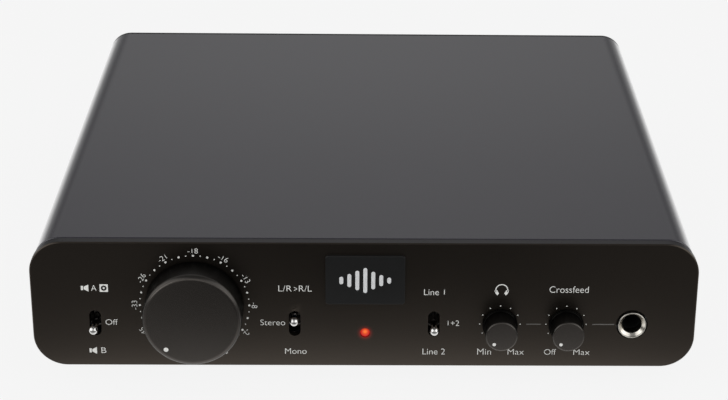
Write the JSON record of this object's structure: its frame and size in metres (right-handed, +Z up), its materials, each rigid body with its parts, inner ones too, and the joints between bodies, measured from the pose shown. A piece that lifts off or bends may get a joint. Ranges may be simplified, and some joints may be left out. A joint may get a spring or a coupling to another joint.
{
  "type": "studio monitor controller",
  "caption": "Low black desktop monitor controller with a rounded case, a large volume knob, small knobs, toggle switches, a power light and a headphone socket.",
  "frame": {"origin": "under the middle of the whole object, on the plane that its feet stand on", "axes": "+X to the right as seen from the front, +Y from the front panel to the back, +Z up"},
  "size_m": [0.21, 0.226, 0.0498],
  "materials": {
    "case_coat": "fine matt powder coat",
    "panel_coat": "black anodised, satin, faint grain",
    "tray_metal": "plain sheet",
    "rear_coat": "fine matt powder coat",
    "badge_plastic": "satin dark grey",
    "zinc": "zinc plated",
    "black_screw": "black zinc",
    "foot_rubber": "matt moulded rubber",
    "knob_plastic": "soft matt black",
    "pointer_white": "white paint",
    "shaft_metal": "turned steel",
    "pot_metal": "moulded body",
    "switch_plastic": "moulded body",
    "lever_chrome": "polished plating",
    "light_red": "tinted clear lens, lit",
    "white_plastic": "moulded",
    "socket_plastic": "moulded black",
    "ring_chrome": "nickel plating",
    "board_green": "solder mask",
    "header_plastic": "moulded",
    "capacitor_sleeve": "shrink sleeve",
    "chip_black": "moulded epoxy",
    "sink_black": "black anodised"
  },
  "bodies": {
    "root": {"case_sleeve": "case_coat", "front_panel": "panel_coat", "chassis_tray": "tray_metal", "rear_panel": "rear_coat", "badge_plate": "badge_plastic", "panel_screws": "zinc", "rear_screws": "black_screw", "rubber_feet": "foot_rubber", "foot_screws": "zinc", "foot_nuts": "zinc", "volume_pot": "pot_metal", "volume_pot_nut": "zinc", "headphone_pot": "pot_metal", "headphone_pot_nut": "zinc", "crossfeed_pot": "pot_metal", "crossfeed_pot_nut": "zinc", "speaker_switch": "switch_plastic", "mode_switch": "switch_plastic", "source_switch": "switch_plastic", "switch_bushings": "lever_chrome", "power_light": "light_red", "light_holder": "white_plastic", "headphone_socket": "socket_plastic", "headphone_ring": "ring_chrome", "control_board": "board_green", "main_board": "board_green", "board_standoffs": "zinc", "board_screws": "zinc", "board_header": "header_plastic", "filter_capacitors": "capacitor_sleeve", "amplifier_chips": "chip_black", "relays": "white_plastic", "regulators": "chip_black", "heat_sink": "sink_black", "rear_sockets": "socket_plastic", "rear_socket_nuts": "ring_chrome", "phono_block": "socket_plastic", "phono_shells": "ring_chrome", "phono_inserts": "white_plastic", "power_inlet": "socket_plastic", "power_inlet_pin": "ring_chrome", "power_switch": "socket_plastic"},
    "volume_dial": {"volume_knob": "knob_plastic", "volume_pointer": "pointer_white", "volume_shaft": "shaft_metal"},
    "headphone_dial": {"headphone_knob": "knob_plastic", "headphone_pointer": "pointer_white", "headphone_shaft": "shaft_metal"},
    "crossfeed_dial": {"crossfeed_knob": "knob_plastic", "crossfeed_pointer": "pointer_white", "crossfeed_shaft": "shaft_metal"},
    "speaker_toggle": {"speaker_lever": "lever_chrome"},
    "mode_toggle": {"mode_lever": "lever_chrome"},
    "source_toggle": {"source_lever": "lever_chrome"},
    "power_button": {"power_rocker": "socket_plastic"}
  },
  "joints": [
    {"name": "volume_turn", "type": "hinge", "parent": "root", "child": "volume_dial", "pos_m": [-0.05375, -0.10155, 0.02805], "axis": [0, 1, 0], "range_deg": [0, 280]},
    {"name": "headphone_turn", "type": "hinge", "parent": "root", "child": "headphone_dial", "pos_m": [0.0428, -0.10155, 0.02175], "axis": [0, 1, 0], "range_deg": [0, 280]},
    {"name": "crossfeed_turn", "type": "hinge", "parent": "root", "child": "crossfeed_dial", "pos_m": [0.0638, -0.10155, 0.02175], "axis": [0, 1, 0], "range_deg": [0, 280]},
    {"name": "speaker_select", "type": "hinge", "parent": "root", "child": "speaker_toggle", "pos_m": [-0.0852, -0.09225, 0.02175], "axis": [1, 0, 0], "range_deg": [-12, 12]},
    {"name": "mode_select", "type": "hinge", "parent": "root", "child": "mode_toggle", "pos_m": [-0.0223, -0.09225, 0.02175], "axis": [1, 0, 0], "range_deg": [0, 24]},
    {"name": "source_select", "type": "hinge", "parent": "root", "child": "source_toggle", "pos_m": [0.0218, -0.09225, 0.02175], "axis": [1, 0, 0], "range_deg": [-12, 12]},
    {"name": "power_press", "type": "hinge", "parent": "root", "child": "power_button", "pos_m": [-0.08396, 0.10245, 0.0278], "axis": [1, 0, 0], "range_deg": [-16, 0]}
  ]
}
